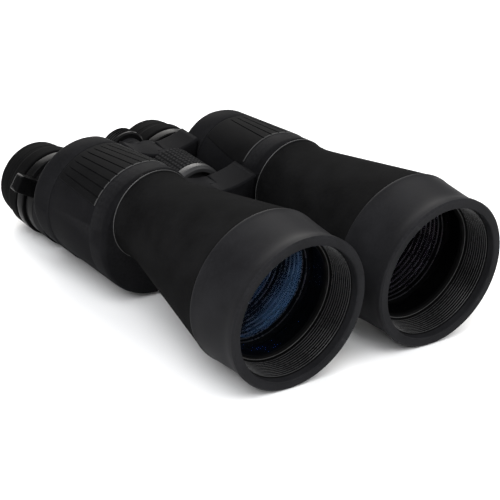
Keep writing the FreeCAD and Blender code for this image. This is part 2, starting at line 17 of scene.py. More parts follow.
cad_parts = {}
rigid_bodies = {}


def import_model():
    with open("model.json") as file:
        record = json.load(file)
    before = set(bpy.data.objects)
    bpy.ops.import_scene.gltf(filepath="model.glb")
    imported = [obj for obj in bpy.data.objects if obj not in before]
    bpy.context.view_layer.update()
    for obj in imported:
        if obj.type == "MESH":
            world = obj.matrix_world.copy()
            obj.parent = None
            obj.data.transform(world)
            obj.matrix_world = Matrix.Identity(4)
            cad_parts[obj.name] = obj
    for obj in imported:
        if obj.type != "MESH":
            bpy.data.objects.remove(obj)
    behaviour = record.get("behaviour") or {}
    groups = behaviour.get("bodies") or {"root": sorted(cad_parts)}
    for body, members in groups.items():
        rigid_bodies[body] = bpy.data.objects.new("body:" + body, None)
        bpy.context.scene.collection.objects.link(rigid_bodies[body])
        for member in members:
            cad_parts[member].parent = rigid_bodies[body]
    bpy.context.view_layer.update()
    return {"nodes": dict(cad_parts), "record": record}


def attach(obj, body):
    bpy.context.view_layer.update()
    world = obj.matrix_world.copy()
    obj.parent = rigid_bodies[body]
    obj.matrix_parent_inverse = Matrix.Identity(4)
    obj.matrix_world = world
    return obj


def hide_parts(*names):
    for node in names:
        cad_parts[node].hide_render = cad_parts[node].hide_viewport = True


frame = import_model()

LOG = logging.getLogger("binoculars")
MM = 0.001
NOISE_MIDDLE = (0.35, 0.65)      # where nearly all of a noise's values lie
CLOUD_MM, SPECK_MM = 16.0, 1.3   # slow and fast changes of colour on a finish
WORN_EDGE = (0.52, 0.62)         # pointiness at which wear starts and is full
ROUND_STEPS = 5                  # segments in a rounded corner
WIRE_SIDES, RING_STEPS = 8, 120  # faces round a fine ring's wire, and along it
Colour = tuple[float, float, float]
Corner = tuple[float, ...]


class Side(Enum):
    """One half of the binoculars, with the sign of its X."""

    LEFT = 1
    RIGHT = -1

    @property
    def tag(self) -> str:
        """Prefix of the node names on this side."""
        return self.name.lower()

    @property
    def half(self) -> str:
        """CAD body of the prism housing and barrel."""
        return f"{self.tag}_half"

    @property
    def eyepiece(self) -> str:
        """CAD body that slides with the focus wheel."""
        return f"{self.tag}_eyepiece"

    @property
    def ocular(self) -> str:
        """CAD body of the eyecup; only the right one moves on its own."""
        return "right_ocular" if self is Side.RIGHT else "left_eyepiece"


class Grain(Enum):
    """Fine relief of a surface."""

    SATIN = "smooth moulded skin"
    WRINKLE = "sprayed wrinkle coat"
    STIPPLE = "spark-eroded stipple"
    TURNED = "fine turning marks"
    POLISHED = "near flat"


# ------------------------------------------------------------------------ materials
class Board:
    """A node tree with short calls to add and join nodes."""

    def __init__(self, tree: bpy.types.NodeTree) -> None:
        """Start from an empty tree.

        Args:
            tree: the shader or geometry tree to fill.
        """
        self.tree = tree
        tree.nodes.clear()

    def add(self, kind: str, inputs: dict[Any, Any] | None = None,
            **settings: Any) -> bpy.types.Node:
        """Add one node.

        Args:
            kind: Blender's type name of the node.
            inputs: value or socket for each input, by name or number.
            settings: the node's own properties.

        Returns:
            The new node.
        """
        node = self.tree.nodes.new(kind)
        for key, value in settings.items():
            setattr(node, key, value)
        for key, value in (inputs or {}).items():
            if isinstance(value, bpy.types.NodeSocket):
                self.tree.links.new(value, node.inputs[key])
            else:
                node.inputs[key].default_value = value
        return node

    def math(self, operation: str, *values: Any) -> bpy.types.NodeSocket:
        """Add a Math node and return its result."""
        return self.add("ShaderNodeMath", dict(enumerate(values)), operation=operation).outputs[0]

    def span(self, value: Any, low: float, high: float, to_low: float,
             to_high: float) -> bpy.types.NodeSocket:
        """Map value from one range to another, clamped, and return the result."""
        return self.add("ShaderNodeMapRange", {
            0: value, 1: low, 2: high, 3: to_low, 4: to_high}).outputs[0]

    def noise(self, where: Any, size_mm: float, detail: float = 3.0) -> bpy.types.NodeSocket:
        """Noise with features of about size_mm; returns its factor."""
        inputs = {"Vector": where, "Scale": 1 / (size_mm * MM), "Detail": detail}
        return self.add("ShaderNodeTexNoise", inputs).outputs[0]

    def blend(self, share: Any, low: Colour, high: Any) -> bpy.types.NodeSocket:
        """Mix two colours.

        Args:
            share: how much of the second colour, from 0 to 1.
            low: the first colour, or its socket.
            high: the second colour, or its socket.

        Returns:
            The mixed colour.
        """
        inputs = {0: share, 6: (*low, 1) if isinstance(low, tuple) else low,
                  7: (*high, 1) if isinstance(high, tuple) else high}
        return self.add("ShaderNodeMix", inputs, data_type="RGBA").outputs[2]


@dataclass(frozen=True)
class Finish:
    """An opaque surface finish: colour that varies, roughness, relief and edge wear."""

    name: str
    colour: Colour
    roughness: float
    specular: float
    grain: Grain = Grain.SATIN
    grain_mm: float = 0.4
    relief_mm: float = 0.012
    mottle: float = 0.22
    wear: float = 0.5
    metallic: float = 0.0

    def relief(self, board: Board, where: bpy.types.NodeSocket) -> bpy.types.NodeSocket:
        """Height pattern of the grain.

        Args:
            board: the material's tree.
            where: object coordinates.

        Returns:
            Height from 0 to 1.
        """
        fine = board.noise(where, self.grain_mm, 4)
        if self.grain is Grain.WRINKLE:
            cell_size = self.grain_mm * 1.6 * MM
            cells = board.add("ShaderNodeTexVoronoi", {"Vector": where, "Scale": 1 / cell_size},
                              feature="SMOOTH_F1").outputs[0]
            return board.math("ADD", board.math("MULTIPLY", cells, 0.6),
                              board.math("MULTIPLY", fine, 0.6))
        if self.grain is Grain.STIPPLE:
            return board.span(fine, 0.42, 0.62, 0.0, 1.0)
        if self.grain is Grain.TURNED:
            stretch = board.add("ShaderNodeMapping", {0: where, 3: (0.12, 9.0, 0.12)}).outputs[0]
            return board.noise(stretch, self.grain_mm * 4, 2)
        slow = board.noise(where, self.grain_mm * 14, 2)
        return board.math("ADD", board.math("MULTIPLY", fine, 0.5),
                          board.math("MULTIPLY", slow, 0.5))

    def build(self) -> bpy.types.Material:
        """Make the material.

        Returns:
            A node material that reads object coordinates.
        """
        material = bpy.data.materials.new(self.name)
        material.use_nodes = True
        board = Board(material.node_tree)
        where = board.add("ShaderNodeTexCoord").outputs["Object"]
        cloud, speck = board.noise(where, CLOUD_MM, 4), board.noise(where, SPECK_MM, 3)
        shade = board.math("ADD", board.math("MULTIPLY", cloud, 0.7),
                           board.math("MULTIPLY", speck, 0.3))
        low: Colour = tuple(c * (1 - self.mottle) for c in self.colour)
        high: Colour = tuple(c * (1 + self.mottle) for c in self.colour)
        worn: Colour = tuple(min(1.0, c * 1.6 + 0.01) for c in self.colour)
        body = board.blend(board.span(shade, *NOISE_MIDDLE, 0, 1), low, high)
        edge = board.add("ShaderNodeNewGeometry").outputs["Pointiness"]
        rub = board.math("MULTIPLY", board.span(edge, *WORN_EDGE, 0, self.wear),
                         board.span(speck, 0.3, 0.6, 0.4, 1))
        colour = board.blend(rub, body, worn)
        rough = board.span(shade, *NOISE_MIDDLE, max(0.03, self.roughness - 0.05),
                           min(1, self.roughness + 0.06))
        bump = board.add("ShaderNodeBump", {"Strength": 1.0, "Distance": self.relief_mm * MM,
                                            "Height": self.relief(board, where)}).outputs[0]
        shader = board.add("ShaderNodeBsdfPrincipled", {
            "Base Color": colour, "Roughness": rough, "Normal": bump, "Metallic": self.metallic,
            "Specular IOR Level": self.specular})
        board.add("ShaderNodeOutputMaterial", {0: shader.outputs[0]})
        return material


@dataclass(frozen=True)
class Glass:
    """Coated glass: mostly clear, under a tinted reflection that sets in with angle."""

    name: str
    tint: Colour
    flash: Colour
    mirror: float
    roughness: float = 0.02
    onset: tuple[float, float] = (0.3, 0.42)
    quiet: float = 0.25

    def build(self) -> bpy.types.Material:
        """Make the material.

        Returns:
            A clear layer under a coloured reflection.
        """
        material = bpy.data.materials.new(self.name)
        material.use_nodes = True
        board = Board(material.node_tree)
        where = board.add("ShaderNodeTexCoord").outputs["Object"]
        film, dust = board.noise(where, 30.0, 2), board.noise(where, 0.8, 3)
        deep: Colour = tuple(c * 0.8 for c in self.flash)
        flash = board.blend(board.span(film, *NOISE_MIDDLE, 0, 1), deep, self.flash)
        rough = board.span(dust, 0.3, 0.7, self.roughness * 0.6, self.roughness * 1.5)
        ripple = board.add("ShaderNodeBump", {
            "Strength": 0.3, "Distance": 0.00001, "Height": film}).outputs[0]
        facing = board.add("ShaderNodeLayerWeight", {"Blend": 0.5}).outputs["Facing"]
        strength = board.span(facing, *self.onset, self.quiet * self.mirror, self.mirror)
        clear = board.add("ShaderNodeBsdfTransparent", {"Color": (*self.tint, 1)}).outputs[0]
        shine = board.add("ShaderNodeBsdfGlossy", {
            "Color": flash, "Roughness": rough, "Normal": ripple}).outputs[0]
        both = board.add("ShaderNodeMixShader", {0: strength, 1: clear, 2: shine}).outputs[0]
        board.add("ShaderNodeOutputMaterial", {0: both})
        return material


FINISHES: dict[str, Finish | Glass] = {
    "bell_armour": Finish(
        "bell_armour_satin", colour=(0.0112, 0.0112, 0.0123), roughness=0.5, specular=0.028,
        grain=Grain.SATIN, grain_mm=0.5, relief_mm=0.005),
    "barrel_coat": Finish(
        "barrel_wrinkle_coat", colour=(0.0062, 0.0062, 0.0064), roughness=0.74, specular=0.005,
        grain=Grain.WRINKLE, grain_mm=0.42, relief_mm=0.04, mottle=0.3),
    "body_armour": Finish(
        "body_armour_satin", colour=(0.0066, 0.0066, 0.0073), roughness=0.55, specular=0.008,
        grain=Grain.STIPPLE, grain_mm=0.34, relief_mm=0.01),
    "grip_rubber": Finish(
        "grip_rubber_fine", colour=(0.0056, 0.0056, 0.0059), roughness=0.6, specular=0.008,
        grain=Grain.STIPPLE, grain_mm=0.3, relief_mm=0.014, wear=1.0),
    "eyecup_rubber": Finish(
        "eyecup_rubber_matte", colour=(0.0052, 0.0052, 0.0053), roughness=0.58, specular=0.005,
        grain=Grain.SATIN, grain_mm=0.35, relief_mm=0.008),
    "wheel_satin": Finish(
        "wheel_satin_plastic", colour=(0.024, 0.024, 0.025), roughness=0.42, specular=0.2,
        grain=Grain.TURNED, grain_mm=0.25, relief_mm=0.005),
    "gloss_black": Finish(
        "lever_gloss_plastic", colour=(0.003, 0.003, 0.0032), roughness=0.3, specular=0.045,
        grain=Grain.POLISHED, grain_mm=0.6, relief_mm=0.002),
    "blackened_alloy": Finish(
        "cell_blackened_alloy", colour=(0.0016, 0.0016, 0.0017), roughness=0.45, specular=0.03,
        grain=Grain.TURNED, grain_mm=0.2, relief_mm=0.005),
    # Lighter than the blackened wall so thread crests and baffle edges read as fine light lines:
    # partly their own gloss, partly painted highlight.
    "machined_edge": Finish(
        "cell_machined_edge", colour=(0.022, 0.022, 0.0226), roughness=0.28, specular=0.3,
        grain=Grain.TURNED, grain_mm=0.2, relief_mm=0.003),
    # Lighter finish for the grip panel's front strip: painted highlight along that edge.
    "grip_edge": Finish(
        "grip_rubbed_edge", colour=(0.036, 0.036, 0.036), roughness=0.42, specular=0.2,
        grain=Grain.STIPPLE, grain_mm=0.3, relief_mm=0.004),
    # Light grey rings that stand for a glint: painted highlight on the barrel's root rim and on the
    # lens retaining ring's edge.
    "bright_edge": Finish(
        "rubbed_rim_edge", colour=(0.05, 0.05, 0.05), roughness=0.34, specular=0.3,
        grain=Grain.TURNED, grain_mm=0.2, relief_mm=0.002),
    "screw_steel": Finish(
        "screw_blackened_steel", colour=(0.05, 0.05, 0.052), roughness=0.38, specular=0.4,
        grain=Grain.TURNED, grain_mm=0.2, relief_mm=0.006, metallic=0.9),
    "nylon": Finish(
        "washer_nylon", colour=(0.012, 0.012, 0.012), roughness=0.5, specular=0.2,
        grain=Grain.STIPPLE, grain_mm=0.3, relief_mm=0.006),
    "coated_glass": Glass(
        "objective_coated_glass", tint=(0.93, 0.94, 0.96), flash=(0.2, 0.46, 1.0), mirror=0.05,
        onset=(0.32, 0.365), quiet=0.1),
    # A second copy of the coated glass for the far (left) lens, with a much weaker and paler
    # reflection: painted shade on that lens.
    "coated_glass_left_shaded": Glass(
        "objective_coated_glass_left", tint=(0.93, 0.93, 0.95), flash=(0.7, 0.62, 1.0),
        mirror=0.0035, onset=(0.3, 0.5), quiet=0.7),
    "clear_glass": Glass(
        "inner_clear_glass", tint=(0.93, 0.95, 0.96), flash=(0.55, 0.65, 0.8), mirror=0.01),
    "prism_glass": Glass(
        "prism_polished_glass", tint=(0.9, 0.94, 0.92), flash=(0.6, 0.7, 0.7), mirror=0.01),
}


class Paint:
    """Makes each finish once and hands it out by slot."""

    def __init__(self) -> None:
        """Start with nothing made."""
        self.made: dict[str, bpy.types.Material] = {}

    def get(self, slot: str) -> bpy.types.Material:
        """Hand out the material of a slot, made on first use.

        Args:
            slot: key of the finish.

        Returns:
            The material.
        """
        if slot not in self.made:
            self.made[slot] = FINISHES[slot].build()
        return self.made[slot]


PAINT = Paint()


# --------------------------------------------------------------------------- meshes
def soften(corners: Sequence[Corner]) -> list[tuple[float, float]]:
    """Round the corners of a closed profile.

    Args:
        corners: (radius, y) points, each with an optional rounding size as a third number.

    Returns:
        Profile points in the same order.
    """
    out: list[tuple[float, float]] = []
    count = len(corners)
    for i, corner in enumerate(corners):
        here = Vector(corner[:2])
        round_by = corner[2] if len(corner) > 2 else 0.0
        if round_by <= 0:
            out.append((here.x, here.y))
            continue
        before = Vector(corners[i - 1][:2]) - here
        after = Vector(corners[(i + 1) % count][:2]) - here
        a = here + before.normalized() * min(round_by, before.length * 0.48)
        b = here + after.normalized() * min(round_by, after.length * 0.48)
        for k in range(ROUND_STEPS + 1):
            t = k / ROUND_STEPS
            p = a * (1 - t) ** 2 + here * (2 * t * (1 - t)) + b * t ** 2
            out.append((p.x, p.y))
    return out


def as_object(name: str, mesh: bpy.types.Mesh, slot: str,
              crease_deg: float = 38.0) -> bpy.types.Object:
    """Shade a mesh and put it in the scene at the origin.

    Args:
        name: the piece's name.
        mesh: the finished mesh.
        slot: material slot of the record.
        crease_deg: edges sharper than this stay crisp.

    Returns:
        The new object.
    """
    mesh.materials.clear()
    mesh.materials.append(PAINT.get(slot))
    mesh.shade_smooth()
    mesh.set_sharp_from_angle(angle=math.radians(crease_deg))
    piece = bpy.data.objects.new(name, mesh)
    bpy.context.scene.collection.objects.link(piece)
    return piece


def from_bmesh(name: str, bm: bmesh.types.BMesh, slot: str,
               crease_deg: float = 38.0) -> bpy.types.Object:
    """Clean a bmesh, turn its faces outwards and make it an object.

    Args:
        name: the piece's name.
        bm: the mesh as built; it is freed.
        slot: material slot of the record.
        crease_deg: edges sharper than this stay crisp.

    Returns:
        The new object.
    """
    bmesh.ops.remove_doubles(bm, verts=bm.verts, dist=1e-7)
    bmesh.ops.recalc_face_normals(bm, faces=bm.faces)
    mesh = bpy.data.meshes.new(name)
    bm.to_mesh(mesh)
    bm.free()
    return as_object(name, mesh, slot, crease_deg)


def lathe(name: str, x: float, z: float, profile: Sequence[tuple[float, float]], slot: str,
          turns: int = 144) -> bpy.types.Object:
    """Turn a closed profile about an axis along Y.

    Args:
        name: the piece's name.
        x: axis position across.
        z: axis height.
        profile: closed loop of (radius, y).
        slot: material slot of the record.
        turns: steps round the axis.

    Returns:
        The turned piece.
    """
    bm = bmesh.new()
    rings = []
    for k in range(turns):
        turn = math.tau * k / turns
        rings.append([
            bm.verts.new(((x + r * math.cos(turn)) * MM, y * MM, (z + r * math.sin(turn)) * MM))
            for r, y in profile])
    count = len(profile)
    for k in range(turns):
        near, far = rings[k], rings[(k + 1) % turns]
        for i in range(count):
            j = (i + 1) % count
            if max(profile[i][0], profile[j][0]) > 1e-6:
                bm.faces.new((near[i], near[j], far[j], far[i]))
    return from_bmesh(name, bm, slot)


def dome(radius: float, y_edge: float, bulge: float, steps: int = 14) -> list[tuple[float, float]]:
    """Spherical face of a lens.

    Args:
        radius: radius of the lens's edge.
        y_edge: station of the edge.
        bulge: how far the middle stands out from the edge, negative towards the front.
        steps: segments from the edge to the axis.

    Returns:
        (radius, y) points from the edge to the axis.
    """
    ball = (radius ** 2 + bulge ** 2) / (2 * abs(bulge))
    middle = y_edge + bulge - math.copysign(ball, bulge)
    points = []
    for k in range(steps + 1):
        r = radius * (1 - k / steps)
        points.append((r, middle + math.copysign(math.sqrt(ball ** 2 - r ** 2), bulge)))
    return points


def fair_copy(node: str, name: str, slot: str, bevel_mm: float = 0.0) -> bpy.types.Object:
    """Copy a CAD node as one welded, smooth-shaded piece.

    Args:
        node: the CAD node.
        name: the new piece's name.
        slot: material slot of the record.
        bevel_mm: rounding of the sharp edges, or 0.

    Returns:
        The new object.
    """
    sharp_deg, crease_deg = 32, 33.0
    bm = bmesh.new()
    bm.from_mesh(frame["nodes"][node].data)
    bmesh.ops.remove_doubles(bm, verts=bm.verts, dist=2e-6)
    if bevel_mm:
        bmesh.ops.dissolve_limit(bm, angle_limit=math.radians(1), verts=bm.verts, edges=bm.edges)
        sharp = [e for e in bm.edges
                 if e.is_manifold and e.calc_face_angle(0) > math.radians(sharp_deg)]
        bmesh.ops.bevel(bm, geom=sharp, offset=bevel_mm * MM, segments=3, profile=0.5,
                        affect="EDGES", clamp_overlap=True)
    mesh = bpy.data.meshes.new(name)
    bm.to_mesh(mesh)
    bm.free()
    return as_object(name, mesh, slot, crease_deg)


def settle(piece: bpy.types.Object, body: str, slot: str, *nodes: str) -> bpy.types.Object:
    """Put a piece on its CAD body, hide the CAD nodes that it stands for, and log it.

    Args:
        piece: the finished piece.
        body: CAD body that it rides on.
        slot: material slot of the record; not used.
        nodes: CAD nodes that it replaces.

    Returns:
        The same piece.
    """
    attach(piece, body)
    if nodes:
        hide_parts(*nodes)
    LOG.info("%s: %d faces on %s", piece.name, len(piece.data.polygons), body)
    return piece


# ------------------------------------------------------------------- geometry nodes
class NodeMill:
    """A geometry node tree with named inputs, run once to give a plain mesh."""

    def __init__(self, name: str, inputs: dict[str, str]) -> None:
        """Make the tree's face.

        Args:
            name: the tree's name.
            inputs: socket type of each named input.
        """
        self.tree = bpy.data.node_groups.new(name, "GeometryNodeTree")
        new_socket = self.tree.interface.new_socket
        new_socket("Geometry", in_out="OUTPUT", socket_type="NodeSocketGeometry")
        self.ids = {label: new_socket(label, in_out="INPUT", socket_type=kind).identifier
                    for label, kind in inputs.items()}
        self.board = Board(self.tree)
        self.given = self.board.add("NodeGroupInput").outputs

    def finish(self, geometry: bpy.types.NodeSocket) -> None:
        """Realize what was made, give it its material and close the tree.

        Args:
            geometry: what the tree has made.
        """
        real = self.board.add("GeometryNodeRealizeInstances", {0: geometry}).outputs[0]
        dressed = self.board.add("GeometryNodeSetMaterial", {
            "Geometry": real, "Material": self.given["Material"]})
        self.board.add("NodeGroupOutput", {0: dressed.outputs[0]})

    def run(self, name: str, finish: str, x: float, z: float, crease_deg: float = 38.0,
            **values: float) -> bpy.types.Object:
        """Run the tree and keep the result as a plain mesh.

        Args:
            name: the piece's name.
            finish: key of the finish.
            x: axis position across, in millimetres.
            z: axis height, in millimetres.
            crease_deg: edges sharper than this stay crisp.
            values: the tree's inputs, with _ for a space in a name.

        Returns:
            The finished piece.
        """
        holder = bpy.data.objects.new(f"{name}_holder", bpy.data.meshes.new(f"{name}_seed"))
        bpy.context.scene.collection.objects.link(holder)
        modifier = holder.modifiers.new("mill", "NODES")
        modifier.node_group = self.tree
        for label, value in values.items():
            modifier[self.ids[label.replace("_", " ")]] = value
        modifier[self.ids["Material"]] = PAINT.get(finish)
        graph = bpy.context.evaluated_depsgraph_get()
        mesh = bpy.data.meshes.new_from_object(holder.evaluated_get(graph), depsgraph=graph)
        bpy.data.objects.remove(holder)
        mesh.transform(Matrix.Translation((x * MM, 0, z * MM)))
        bm = bmesh.new()
        bm.from_mesh(mesh)
        return from_bmesh(name, bm, finish, crease_deg)


def knurl_mill() -> NodeMill:
    """Tree for square pads in rows round a cylinder along Y.

    Returns:
        The tree, ready to run.
    """
    mill = NodeMill("knurl_pads", {
        "Rows": "NodeSocketInt", "Columns": "NodeSocketInt", "Radius": "NodeSocketFloat",
        "Start": "NodeSocketFloat", "Pitch": "NodeSocketFloat", "Pad": "NodeSocketFloat",
        "Height": "NodeSocketFloat", "Material": "NodeSocketMaterial"})
    board, given = mill.board, mill.given
    index = board.add("GeometryNodeInputIndex").outputs[0]
    row = board.math("FLOOR", board.math("DIVIDE", index, given["Columns"]))
    column = board.math("MODULO", index, given["Columns"])
    turn = board.math("MULTIPLY", board.math("DIVIDE", column, given["Columns"]), math.tau)
    where = board.add("ShaderNodeCombineXYZ", {
        0: board.math("MULTIPLY", board.math("COSINE", turn), given["Radius"]),
        1: board.math("ADD", given["Start"], board.math("MULTIPLY", row, given["Pitch"])),
        2: board.math("MULTIPLY", board.math("SINE", turn), given["Radius"])}).outputs[0]
    points = board.add("GeometryNodePoints", {
        "Count": board.math("MULTIPLY", given["Rows"], given["Columns"]),
        "Position": where}).outputs[0]
    pad = board.add("GeometryNodeMeshCone", {
        "Vertices": 4, "Radius Top": board.math("MULTIPLY", given["Pad"], 0.46),
        "Radius Bottom": board.math("MULTIPLY", given["Pad"], 0.74),
        "Depth": given["Height"]}).outputs[0]
    square = board.add("GeometryNodeTransform", {
        "Geometry": pad, "Rotation": (0, 0, math.pi / 4)}).outputs[0]
    facing = board.add("ShaderNodeCombineXYZ", {
        1: board.math("SUBTRACT", math.pi / 2, turn)}).outputs[0]
    placed = board.add("GeometryNodeInstanceOnPoints", {
        "Points": points, "Instance": square, "Rotation": facing}).outputs[0]
    mill.finish(placed)
    return mill


def ring_mill() -> NodeMill:
    """Tree for fine round rings in a row along Y, such as threads and baffle edges.

    Returns:
        The tree, ready to run.
    """
    mill = NodeMill("fine_rings", {
        "Rings": "NodeSocketInt", "Start": "NodeSocketFloat", "Pitch": "NodeSocketFloat",
        "First Radius": "NodeSocketFloat", "Last Radius": "NodeSocketFloat",
        "Wire": "NodeSocketFloat", "Material": "NodeSocketMaterial"})
    board, given = mill.board, mill.given
    index = board.add("GeometryNodeInputIndex").outputs[0]
    where = board.add("ShaderNodeCombineXYZ", {
        1: board.math("ADD", given["Start"],
                      board.math("MULTIPLY", index, given["Pitch"]))}).outputs[0]
    points = board.add("GeometryNodePoints", {
        "Count": given["Rings"], "Position": where}).outputs[0]
    share = board.math("DIVIDE", index, board.math("SUBTRACT", given["Rings"], 1.0))
    radius = board.math("ADD", given["First Radius"], board.math(
        "MULTIPLY", share, board.math("SUBTRACT", given["Last Radius"], given["First Radius"])))
    circle = board.add("GeometryNodeCurvePrimitiveCircle", {
        "Resolution": RING_STEPS, "Radius": 1.0}).outputs[0]
    size = board.add("ShaderNodeCombineXYZ", {0: radius, 1: radius, 2: radius}).outputs[0]
    placed = board.add("GeometryNodeInstanceOnPoints", {
        "Points": points, "Instance": circle, "Rotation": (math.pi / 2, 0, 0),
        "Scale": size}).outputs[0]
    real = board.add("GeometryNodeRealizeInstances", {0: placed}).outputs[0]
    wire = board.add("GeometryNodeCurvePrimitiveCircle", {
        "Resolution": WIRE_SIDES, "Radius": given["Wire"]}).outputs[0]
    mill.finish(board.add("GeometryNodeCurveToMesh", {
        "Curve": real, "Profile Curve": wire}).outputs[0])
    return mill


# -------------------------------------------------------------------- sub-assemblies
@dataclass
class ObjectiveEnd:
    """Bell, shade, lens and barrel of one half."""

    side: Side
    rings: NodeMill
    axis_x: float = 44.1
    axis_z: float = 10.2
    lip_y: float = -108.0
    bell_end_y: float = -76.7
    seat_r: float = 34.0
    lens_r: float = 31.6
    lens_y: float = -88.0
    cover_y: float = 6.7

    @property
    def x(self) -> float:
        """Axis position across, on this side."""
        return self.axis_x * self.side.value

    def turned(self, what: str, corners: Sequence[Corner], slot: str, *nodes: str,
               turns: int = 144) -> bpy.types.Object:
        """Turn one piece about this axis and settle it on the half.

        Args:
            what: the piece's name, without its side.
            corners: closed profile for soften.
            slot: material slot of the record.
            nodes: CAD nodes that it replaces, without their side.
            turns: steps round the axis.

        Returns:
            The settled piece.
        """
        tag = self.side.tag
        piece = lathe(f"{tag}_{what}", self.x, self.axis_z, soften(corners), slot, turns)
        return settle(piece, self.side.half, slot, *(f"{tag}_{n}" for n in nodes))

    def ring_row(self, what: str, finish: str, slot: str, count: int, start: float, pitch: float,
                 radii: tuple[float, float], wire: float) -> None:
        """Make a row of fine rings about this axis and settle it on the half.

        Args:
            what: the piece's name, without its side.
            finish: key of the finish.
            slot: material slot of the record.
            count: number of rings.
            start: station of the first ring.
            pitch: distance from ring to ring.
            radii: radius of the first and the last ring.
            wire: radius of a ring's own section.
        """
        row = self.rings.run(f"{self.side.tag}_{what}", finish, self.x, self.axis_z, Rings=count,
                             Start=start * MM, Pitch=pitch * MM, First_Radius=radii[0] * MM,
                             Last_Radius=radii[1] * MM, Wire=wire * MM)
        settle(row, self.side.half, slot)

    def bell(self) -> None:
        """Armour ring with a flat lip, a rolled outer edge and a faint waist."""
        y, end = self.lip_y, self.bell_end_y
        self.turned("bell_armour_ring", [
            (self.seat_r, y + 0.5, 0.3), (self.seat_r + 0.5, y, 0.3), (38.1, y), (38.9, y + 0.9),
            (38.8, y + 3.0, 1.6), (38.0, y + 7.4, 4.0), (38.2, y + 14, 6.0), (39.1, y + 28, 3.0),
            (39.5, end - 1.1, 0.7), (39.1, end, 0.5), (36.2, end), (36.2, y + 4),
            (self.seat_r, y + 4)],
            "bell_armour", "objective_bell", turns=192)

    def shade(self) -> None:
        """Threaded wall ahead of the lens and the lens seat behind it."""
        front = self.lip_y + 4
        self.turned("lens_cell_wall", [
            (36.1, front), (33.6, front, 0.2), (32.3, -90.7, 0.2), (self.lens_r + 0.1, -90.6),
            (self.lens_r + 0.1, -79), (29.5, -79), (29.5, -77), (34, -77), (34, self.lens_y),
            (36.1, self.lens_y)],
            "blackened_alloy", "objective_cell")
        # Thread crests in the lighter edge finish: partly real gloss, partly painted highlight.
        self.ring_row("shade_threads", "machined_edge", "blackened_alloy", count=10,
                      start=front + 0.6, pitch=1.3, radii=(33.4, 32.4), wire=0.24)
        self.turned("lens_retaining_ring", [
            (self.lens_r, -90.5), (30.9, -90.5, 0.15), (30.1, -89.6, 0.2), (30.0, -88.3),
            (self.lens_r, -88.3)],
            "blackened_alloy", "retaining_ring")
        # Light rings on the retaining ring's edge: a painted highlight.
        self.ring_row("lens_ring_edge", "bright_edge", "blackened_alloy", count=2,
                      start=-90.5, pitch=0.2, radii=(31.25, 31.15), wire=0.2)

    def lens(self) -> None:
        """Objective glass with both faces finely curved."""
        front = dome(self.lens_r, self.lens_y, -2.2)
        back = dome(self.lens_r, self.lens_y + 8.9, 0.6)
        profile = front[::-1] + back
        # The left lens takes the dimmed copy of the coated glass: painted shade.
        coat = "coated_glass_left_shaded" if self.side is Side.LEFT else "coated_glass"
        piece = lathe(f"{self.side.tag}_objective_glass", self.x, self.axis_z, profile, coat, 128)
        settle(piece, self.side.half, "coated_glass", f"{self.side.tag}_objective_lens")

    def baffles(self) -> None:
        """Blackened cone inside the barrel with fine baffle edges."""
        self.turned("baffle_cone", [(29.5, -70), (17.8, 5), (16.8, 5), (28.5, -70)],
                    "blackened_alloy", "baffle_tube")
        # Baffle edges in the lighter edge finish: partly real gloss, partly painted highlight.
        self.ring_row("baffle_edges", "machined_edge", "blackened_alloy", count=20,
                      start=-76.6, pitch=2.5, radii=(29.2, 22.0), wire=0.3)

    def barrel(self) -> None:
        """Conical barrel with a fine bead and a painted highlight ring where it meets the cover."""
        y, end = self.cover_y, self.bell_end_y
        # Two light rings at the barrel's root: a painted highlight where the barrel meets the
        # cover.
        self.ring_row("barrel_root_rim", "bright_edge", "barrel_coat", count=2,
                      start=y - 0.2, pitch=0.1, radii=(23.4, 23.4), wire=0.18)
        self.turned("barrel_shell", [
            (36.1, self.lens_y + 0.1), (36.1, end + 0.1), (38.9, end + 0.1, 0.3),
            (38.3, end + 3.4, 3.0),
            (24.4, -11.0, 6.0), (23.2, -4.0, 4.0), (23.0, y - 1.5, 0.3), (23.35, y - 1.1, 0.3),
            (23.35, y - 0.15, 0.3), (22.95, y + 0.1), (22.95, 9.9), (21.2, 9.9), (21.2, -7),
            (34.2, end + 2), (34.2, self.lens_y + 0.1)], "barrel_coat", "barrel_tube", turns=192)

    def build(self) -> None:
        """Make every piece of this end."""
        self.bell()
        self.shade()
        self.lens()
        self.baffles()
        self.barrel()


